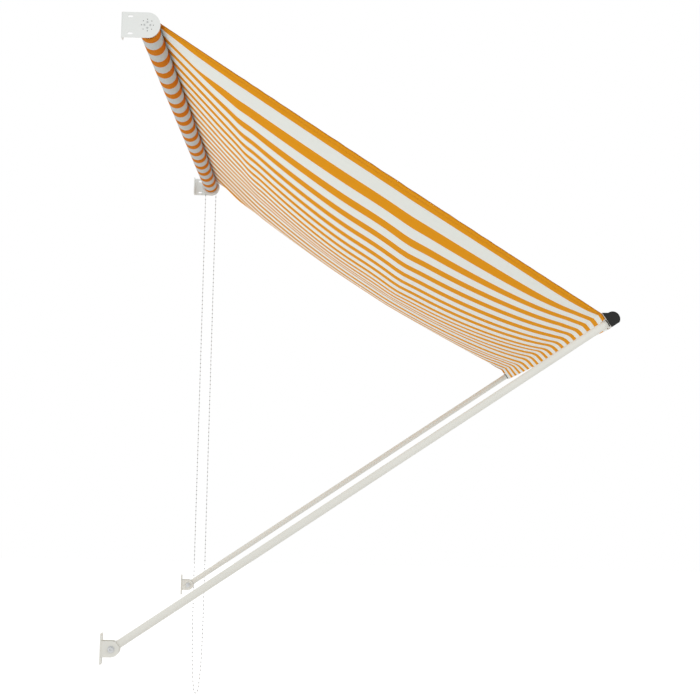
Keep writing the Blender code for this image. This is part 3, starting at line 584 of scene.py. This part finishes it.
def sagAt(share, x):
    fromSide = fromSideEdge(x)
    side = (fromSide / cloth["sideReach"]) ** cloth["sidePower"]
    lowest = cloth["rollPower"] / (cloth["rollPower"] + cloth["barPower"])
    hang = (share / lowest) ** cloth["rollPower"]
    hang *= ((1 - share) / (1 - lowest)) ** cloth["barPower"]
    if hang < cloth["tiny"]:
        return 0.0
    if side < cloth["tiny"]:
        return cloth["edgeSag"] * hang
    power = cloth["blendPower"]
    fall = cloth["sag"] * (hang**-power + side**-power) ** (-1 / power)
    fall += cloth["edgeSag"] * hang

    fade = cloth["creaseFade"]
    crease = sum(depth * bell(share, place, width) for place, depth, width in cloth["creases"])
    crease *= min(1.0, side)
    crease *= max(fade["least"], min(1.0, (fade["end"] - x) / fade["reach"]))

    part = cloth["cornerLift"]
    corner = part["height"] * bell(share, part["place"], part["halfWidth"])
    corner *= bell(fromSide, part["reach"], part["reach"])
    corner *= min(1.0, fromSide / part["fromSide"]) * min(1.0, (1 - share) / part["fromBar"])

    part = cloth["rightLift"]
    right = part["height"] * max(0.0, min(1.0, (x - part["begin"]) / part["reach"])) ** 2
    right *= min(1.0, fromSide / part["fromSide"]) * hang

    part = cloth["rollerLift"]
    roller = part["height"] * bell(share, part["place"], part["halfWidth"])
    roller *= min(1.0, fromSide / part["fromSide"])

    part = cloth["hemLift"]
    beside = part["height"] * hang ** part["power"]
    beside *= bell(fromSide, part["place"], part["halfWidth"]) * math.exp(-share / part["fade"])
    return fall + crease - corner - right - roller - beside


def waveAt(share, x):
    fromSide = fromSideEdge(x)
    for (near, begin), (far, end) in zip(cloth["waves"], cloth["waves"][1:]):
        if fromSide <= far:
            t = (fromSide - near) / (far - near)
            height = begin + (end - begin) * t * t * (3 - 2 * t)
            return height * bell(share, cloth["wavePlace"], cloth["waveWidth"])
    return 0.0


def wandering(place, turn, wander, wanderTurn, start):
    return math.sin(place * turn + wander * math.sin(place * wanderTurn) + start)


def unevenness(share, x):
    # Fans from the roller and the bar, and puckers at the hems
    nearHem = math.exp(-fromSideEdge(x) / ripples["hemReach"])
    calm = (4 * share * (1 - share)) ** ripples["calmPower"]
    fan = wandering(x, *ripples["fanAtRoll"]) * math.exp(-share / ripples["rollFade"])
    fan += wandering(x, *ripples["fanAtBar"]) * math.exp(-(1 - share) / ripples["barFade"])
    pucker = wandering(share, *ripples["pucker"]) * nearHem
    return calm * (ripples["fanHeight"] * fan + ripples["puckerHeight"] * pucker)


def leavingAngle(wrap, y, z):
    # Where a straight line through this point touches the roll
    away = Vector((y + awning["rollerOut"], z))
    return math.atan2(away.y, away.x) % (2 * math.pi) - math.acos(wrap / away.length)


def foldPoints(before, corner, after, softness):
    # From a sharp turn at the corner to a soft one between the points before and after
    points = []
    for row in range(1, cloth["foldRows"] + 1):
        t = row / cloth["foldRows"]
        sharp = before.lerp(corner, min(1.0, 2 * t)).lerp(after, max(0.0, 2 * t - 1))
        soft = before.lerp(corner, t).lerp(corner.lerp(after, t), t)
        points.append(tuple(sharp.lerp(soft, softness)))
    return points


def quarterTurn(along, start):
    # Round an edge of the bar's underside, at that length along the arm
    points = []
    for step in range(cloth["cornerSteps"] + 1):
        angle = start + 0.5 * math.pi * step / cloth["cornerSteps"]
        points.append((along + cloth["standOff"] * math.cos(angle),
                       -cloth["barBottom"] + cloth["standOff"] * math.sin(angle)))
    return points


def hangingSpan(x, leave, goal, softness):
    # The free cloth between the roller and the bar
    span = []
    for row in range(1, cloth["spanRows"] + 1):
        share = row / cloth["spanRows"]
        share -= cloth["crowding"] * math.sin(2 * math.pi * share) / (2 * math.pi)
        share *= cloth["foldStart"]
        straight = leave.lerp(goal, share)
        rise = cloth["foldLift"] * softness * math.exp((share - 1) / cloth["foldRise"])
        rise += waveAt(share, x) + unevenness(share, x)
        span.append((straight.x, straight.y + rise - sagAt(share, x)))
    return span


def clothLine(x):
    # Middle line of the cloth in side view: (y, z) points from the roller to the groove,
    # and the number of the point where the outer bands stop above the arms
    offset = cloth["standOff"]
    wrap = awning["rollRadius"] + offset
    top = armPoint(awning["armLength"] - offset, cloth["barTop"])
    low = Vector(armPoint(awning["armLength"] - offset, -cloth["barBottom"]))
    softness = min(1.0, fromSideEdge(x) / cloth["foldSideReach"]) ** cloth["foldSidePower"]
    waves = sum(size * math.sin(x * turn + start) for size, turn, start in cloth["foldWaves"])
    drop = cloth["foldDrop"] + cloth["foldWander"] * waves
    goal = Vector((top[0], top[1] - drop * softness))
    fold = Vector((goal.x, goal.y + cloth["foldLift"] * softness))
    taut = leavingAngle(wrap, *top)
    leave = Vector((wrap * math.cos(taut) - awning["rollerOut"], wrap * math.sin(taut)))
    span = hangingSpan(x, leave, goal, softness)

    # The sagging cloth leaves the roll where a straight line to its lowest row touches it
    meeting, touching = taut, 0
    for number, (y, z) in enumerate(span[: cloth["spanRows"] // 2]):
        clear = math.hypot(y + awning["rollerOut"], z) > wrap * cloth["touchClear"]
        if clear and leavingAngle(wrap, y, z) > meeting:
            meeting, touching = leavingAngle(wrap, y, z), number
    freeY = wrap * math.cos(meeting) - awning["rollerOut"]
    freeZ = wrap * math.sin(meeting)
    goalY, goalZ = span[touching]
    for number in range(touching):
        share = (number + 1) / (touching + 1)
        span[number] = (freeY + (goalY - freeY) * share, freeZ + (goalZ - freeZ) * share)

    start = taut - cloth["wrapAngle"]
    line = []
    for step in range(cloth["wrapRows"] + 1):
        angle = start + (meeting - start) * step / cloth["wrapRows"]
        line.append((wrap * math.cos(angle) - awning["rollerOut"], wrap * math.sin(angle)))
    line += span

    strip = cloth["barTop"] + cloth["barBottom"]
    after = fold.lerp(low, cloth["foldLength"] / strip)
    line += foldPoints(Vector(span[-1]), fold, after, softness)
    notch = len(line)
    notchDown = cloth["barTop"] - cloth["armRadius"] - cloth["armGap"]
    line.append(tuple(fold.lerp(low, notchDown / strip)))
    corner = quarterTurn(0.0, math.pi) + quarterTurn(cloth["slotEdge"], -0.5 * math.pi)
    groove = cloth["grooveUp"] - cloth["weltRadius"] - cloth["grooveGap"]
    corner.append((cloth["slotEdge"] + offset, groove))
    line += [armPoint(awning["armLength"] + along, up) for along, up in corner]
    return line, notch


def underneath(line, number):
    # Unit step square to the cloth, towards the side that faces the ground
    before = Vector(line[max(number - 1, 0)])
    after = Vector(line[min(number + 1, len(line) - 1)])
    run = (after - before).normalized()
    return Vector((-run.y, run.x))


def addColumn(shape, x, line, rows, lift=0.0):
    # Corners down the cloth, each with its distance along it
    column = []
    run = 0.0
    for number in rows:
        if number:
            run += math.dist(line[number], line[number - 1])
        down = underneath(line, number) * lift
        y, z = line[number]
        column.append((shape.verts.new((x, y + down.x, z + down.y)), run))
    return column


def joinColumns(shape, layer, first, second, rows):
    # Faces between two columns, mapped in metres across and along the cloth
    area = 0.0
    for row in range(rows):
        corners = [first[row], second[row], second[row + 1], first[row + 1]]
        face = shape.faces.new([vert for vert, run in corners])
        area += face.calc_area()
        for loop, (vert, run) in zip(face.loops, corners):
            loop[layer].uv = (vert.co.x, run)
    return area


def makeCanopy():
    left, right = awning["leftEdge"], awning["rightEdge"]
    band = cloth["outerBand"]
    inner = range(1, cloth["columns"])
    stations = [left + away for away in cloth["sideColumns"]]
    width = right - left - 2 * band
    stations += [left + band + width * step / cloth["columns"] for step in inner]
    stations += [right - away for away in reversed(cloth["sideColumns"])]
    shape = bmesh.new()
    layer = shape.loops.layers.uv.new("clothMetres")
    grid = []
    for x in stations:
        line, notch = clothLine(x)
        grid.append(addColumn(shape, x, line, range(len(line))))
    lengths = [column[-1][1] for column in grid]
    area = 0.0
    for number in range(len(stations) - 1):
        middle = (stations[number] + stations[number + 1]) / 2
        outer = middle < left + band or middle > right - band
        rows = notch if outer else len(line) - 1
        area += joinColumns(shape, layer, grid[number], grid[number + 1], rows)
    loose = [vert for vert in shape.verts if not vert.link_faces]
    bmesh.ops.delete(shape, geom=loose, context="VERTS")
    canopy = newPiece("striped_canopy", shape, canvas, sharpAngle=60)
    thicken(canopy, cloth["thickness"], canvasEdgePaintedShade)
    return canopy, sum(lengths) / len(lengths), area


# The folded edges of the cloth and their rows of stitches
hem = {
    "width": 0.019,
    "columns": (0.0, 0.4, 0.75, 1.0),  # shares of the width
    "firstRow": 2,  # rows after the roll where the hem starts
    "lift": 0.0009,  # the doubled strip lies this far under the canopy's middle
    "thickness": 0.0007,
    "stitchIn": 0.0155,
    "stitchPitch": 0.0046,
    "stitchLong": 0.0031,
    "stitchUnder": 0.0006,  # below the strip's middle
    "stitchOver": 0.00025,  # above the canopy's upper face
    "threadRadius": 0.00035,
    "threadSides": 6,
}


def insideEdge(side, away):
    # A place that far in from the cloth's left or right edge
    return awning["leftEdge"] + away if side == "left" else awning["rightEdge"] - away


def hemLine(x):
    line, notch = clothLine(x)
    return line, range(cloth["wrapRows"] + hem["firstRow"], notch - 1)


def makeHem(side):
    shape = bmesh.new()
    layer = shape.loops.layers.uv.new("clothMetres")
    columns = []
    for share in hem["columns"]:
        x = insideEdge(side, hem["width"] * share)
        columns.append(addColumn(shape, x, *hemLine(x), hem["lift"]))
    for first, second in zip(columns, columns[1:]):
        joinColumns(shape, layer, first, second, len(first) - 1)
    strip = newPiece(f"hem_{side}", shape, canvas, sharpAngle=60)
    thicken(strip, hem["thickness"], canvasEdgePaintedShade)
    return strip


def makeStitches(side):
    x = insideEdge(side, hem["stitchIn"])
    line, rows = hemLine(x)
    shape = bmesh.new()
    under = hem["lift"] + hem["stitchUnder"]
    over = cloth["thickness"] / 2 + hem["stitchOver"]
    for lift in (under, -over):
        points = []
        for number in rows:
            down = underneath(line, number) * lift
            points.append(Vector((x, line[number][0] + down.x, line[number][1] + down.y)))
        for place, run in walk(points, hem["stitchPitch"]):
            run = run.normalized() * hem["stitchLong"] / 2
            stitch = [place - run, place, place + run]
            addTube(shape, stitch, hem["threadRadius"], hem["threadSides"])
    return newPiece(f"hem_stitches_{side}", shape, seamThread)


canopy, canopyLength, canopyArea = makeCanopy()
hemPieces = []
for side in ("left", "right"):
    hemPieces += [makeHem(side), makeStitches(side)]
for piece in [canopy] + hemPieces:
    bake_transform(piece)
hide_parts("canopy_cloth")
print("canopy hung")


# Rolled cloth: the turns that stay on the tube, with the layers' edges open at both ends
roll = {
    "turns": 2.6,
    "sides": 64,
    "thickness": 0.0005,
    "columns": 96,
    "innerGap": 0.0004,  # from the tube to the first turn's middle
    "outerGap": 0.0003,  # from the last turn's middle to the roll's outside
    "startAngle": math.radians(60),
    "mapRadius": 0.026,  # one radius for all turns in the map
    "uneven": 0.00012,
    "unevenTurns": (60, 3),  # per metre across, and round the roll
}


def makeRoll():
    left, right = awning["leftEdge"], awning["rightEdge"]
    inner = awning["tubeRadius"] + roll["innerGap"]
    outer = awning["rollRadius"] - roll["outerGap"]
    steps = int(roll["turns"] * roll["sides"])
    across, around = roll["unevenTurns"]
    shape = bmesh.new()
    layer = shape.loops.layers.uv.new("clothMetres")
    columns = []
    for number in range(roll["columns"] + 1):
        x = left + (right - left) * number / roll["columns"]
        column = []
        for step in range(steps + 1):
            share = step / steps
            angle = 2 * math.pi * roll["turns"] * share + roll["startAngle"]
            radius = inner + (outer - inner) * share
            radius += roll["uneven"] * math.sin(x * across + angle * around) * share
            y = -awning["rollerOut"] + radius * math.cos(angle)
            run = 2 * math.pi * roll["mapRadius"] * step / roll["sides"]
            column.append((shape.verts.new((x, y, radius * math.sin(angle))), run))
        columns.append(column)
    for first, second in zip(columns, columns[1:]):
        joinColumns(shape, layer, first, second, steps)
    # The wound cloth takes the deeper canvas colours: painted shade under the canopy
    wound = newPiece("wound_cloth", shape, woundCanvasPaintedShade, sharpAngle=60)
    thicken(wound, roll["thickness"])
    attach(wound, "roller")
    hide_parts("cloth_roll")


makeRoll()
print("cloth wound on the roller")


# Screws at the roller's ends: pan heads with a cross recess
screw = {
    "perSide": 4,
    "sides": 24,
    "headRadius": 0.0023,
    "headHeight": 0.0012,
    # The head's outline, as shares of its height and radius
    "dome": [(1.0, 1.0), (0.55, 1.0), (0.25, 0.92), (0.08, 0.72)],
    "crossLong": 0.0014,
    "crossWide": 0.00035,
    "crossDeep": 0.0007,
    "shankRadius": 0.0011,
}


def cutCross(piece, centre):
    cutter = bmesh.new()
    long, wide, deep = screw["crossLong"], screw["crossWide"], screw["crossDeep"]
    for across, up in ((long, wide), (wide, long)):
        made = bmesh.ops.create_cube(cutter, size=1.0)
        bmesh.ops.scale(cutter, verts=made["verts"], vec=(2 * deep, 2 * across, 2 * up))
        bmesh.ops.translate(cutter, verts=made["verts"], vec=centre)
    cross = newPiece("crossCutter", cutter, None, smooth=False)
    cut = piece.modifiers.new("cross", "BOOLEAN")
    cut.operation = "DIFFERENCE"
    cut.solver = "EXACT"
    cut.use_self = True
    cut.object = cross
    applyModifiers(piece)
    bpy.data.objects.remove(cross, do_unlink=True)


def makeScrew(name, node):
    low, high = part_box(node)
    centre = (low + high) / 2
    leftSide = centre.x < awning["rightEdge"] / 2
    face = low.x if leftSide else high.x
    inward = 1 if leftSide else -1
    height, head, shank = screw["headHeight"], screw["headRadius"], screw["shankRadius"]
    outline = [(high.x - low.x, shank), (height, shank)]
    outline += [(height * depth, head * width) for depth, width in screw["dome"]]
    shape = bmesh.new()
    rings = []
    for depth, radius in outline:
        ring = []
        for step in range(screw["sides"]):
            angle = 2 * math.pi * step / screw["sides"]
            y, z = centre.y + radius * math.cos(angle), centre.z + radius * math.sin(angle)
            ring.append(shape.verts.new((face + inward * depth, y, z)))
        rings.append(ring)
    joinRings(shape, rings)
    shape.faces.new(rings[0])
    shape.faces.new(rings[-1][::-1])
    piece = newPiece(name, shape, zincSteel)
    cutCross(piece, (face, centre.y, centre.z))
    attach(piece, "wall_frame")
    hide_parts(node)


for side in ("left", "right"):
    for number in range(1, screw["perSide"] + 1):
        makeScrew(f"cross_screw_{side}_{number}", f"bracket_screw_{side}_{number}")
print("screws made")


# The frame's own pieces take their finishes
finishBySlot = {
    "bracket_white": bracketPaint,
    "white_metal": armPaint,
    "bare_metal": rollerAluminium,
    "steel": zincSteel,
    "white_plastic": whiteMoulding,
    "dark_plastic": greyMoulding,
    "black_plastic": blackMoulding,
    "chain_grey": chainPlastic,
}
for part in frame["record"]["subparts"]:
    finish = finishBySlot.get(part["material_slot"])
    node = frame["nodes"].get(part["node"])
    if not finish or not node:
        continue
    if node.data.materials:
        for number in range(len(node.data.materials)):
            node.data.materials[number] = finish
    else:
        node.data.materials.append(finish)
print("finishes given to the frame")


# Studio: a white floor and surroundings, with soft lamps at a plain level
studio = {
    "floorDown": 2.0,
    "floorHalf": 9.0,
    "floorMiddle": 1.0,
    "floorGrey": 0.82,
    "floorRough": 0.9,
    "floorGlow": 0.45,  # what the camera sees added to the lit floor
    "ambient": 0.88,
    # Name, place, what it points at, size and power
    "lamps": [
        ("keyLamp", (-3.2, -3.4, 1.2), (0.9, -0.6, -0.5), 2.4, 44),
        ("fillLamp", (0.7, 0.9, -1.9), (0.9, -0.6, -0.4), 2.6, 16),
    ],
}


def seenByCamera(tree):
    # 1 for what the camera sees, also in a reflection or through something, or else 0
    rays = tree.nodes.new("ShaderNodeLightPath")
    seen = rays.outputs["Is Camera Ray"]
    for kind in ("Is Glossy Ray", "Is Transmission Ray"):
        either = tree.nodes.new("ShaderNodeMath")
        either.operation = "MAXIMUM"
        tree.links.new(seen, either.inputs[0])
        tree.links.new(rays.outputs[kind], either.inputs[1])
        seen = either.outputs[0]
    return seen


def makeFloor():
    half, down, across = studio["floorHalf"], studio["floorDown"], studio["floorMiddle"]
    shape = bmesh.new()
    corners = ((-half, -half), (half, -half), (half, half), (-half, half))
    shape.faces.new([shape.verts.new((x + across, y, -down)) for x, y in corners])
    make = Shader("studioFloor")
    make.body.inputs["Base Color"].default_value = rgba([studio["floorGrey"]] * 3)
    make.body.inputs["Roughness"].default_value = studio["floorRough"]
    make.body.inputs["Specular IOR Level"].default_value = 0.0
    make.body.inputs["Emission Color"].default_value = (1, 1, 1, 1)
    glow = make.mathNode("MULTIPLY", seenByCamera(make.tree), studio["floorGlow"])
    make.feed(make.body, "Emission Strength", glow)
    floor = newPiece("studio_floor", shape, make.material, smooth=False)


def makeSurroundings():
    world = bpy.data.worlds.new("studioWorld")
    scene.world = world
    world.use_nodes = True
    tree = world.node_tree
    level = tree.nodes.new("ShaderNodeMix")
    level.data_type = "FLOAT"
    level.inputs[2].default_value = studio["ambient"]
    level.inputs[3].default_value = 1.0
    tree.links.new(seenByCamera(tree), level.inputs[0])
    background = tree.nodes["Background"]
    background.inputs["Color"].default_value = (1, 1, 1, 1)
    tree.links.new(level.outputs[0], background.inputs["Strength"])


def hangLamps():
    for name, place, aim, size, power in studio["lamps"]:
        light = bpy.data.lights.new(name, "AREA")
        light.size = size
        light.energy = power
        lamp = bpy.data.objects.new(name, light)
        lamp.location = place
        aimed = Vector(aim) - Vector(place)
        lamp.rotation_euler = aimed.to_track_quat("-Z", "Y").to_euler()
        scene.collection.objects.link(lamp)


makeFloor()
makeSurroundings()
hangLamps()
scene.view_settings.view_transform = "Standard"
print("studio lit")
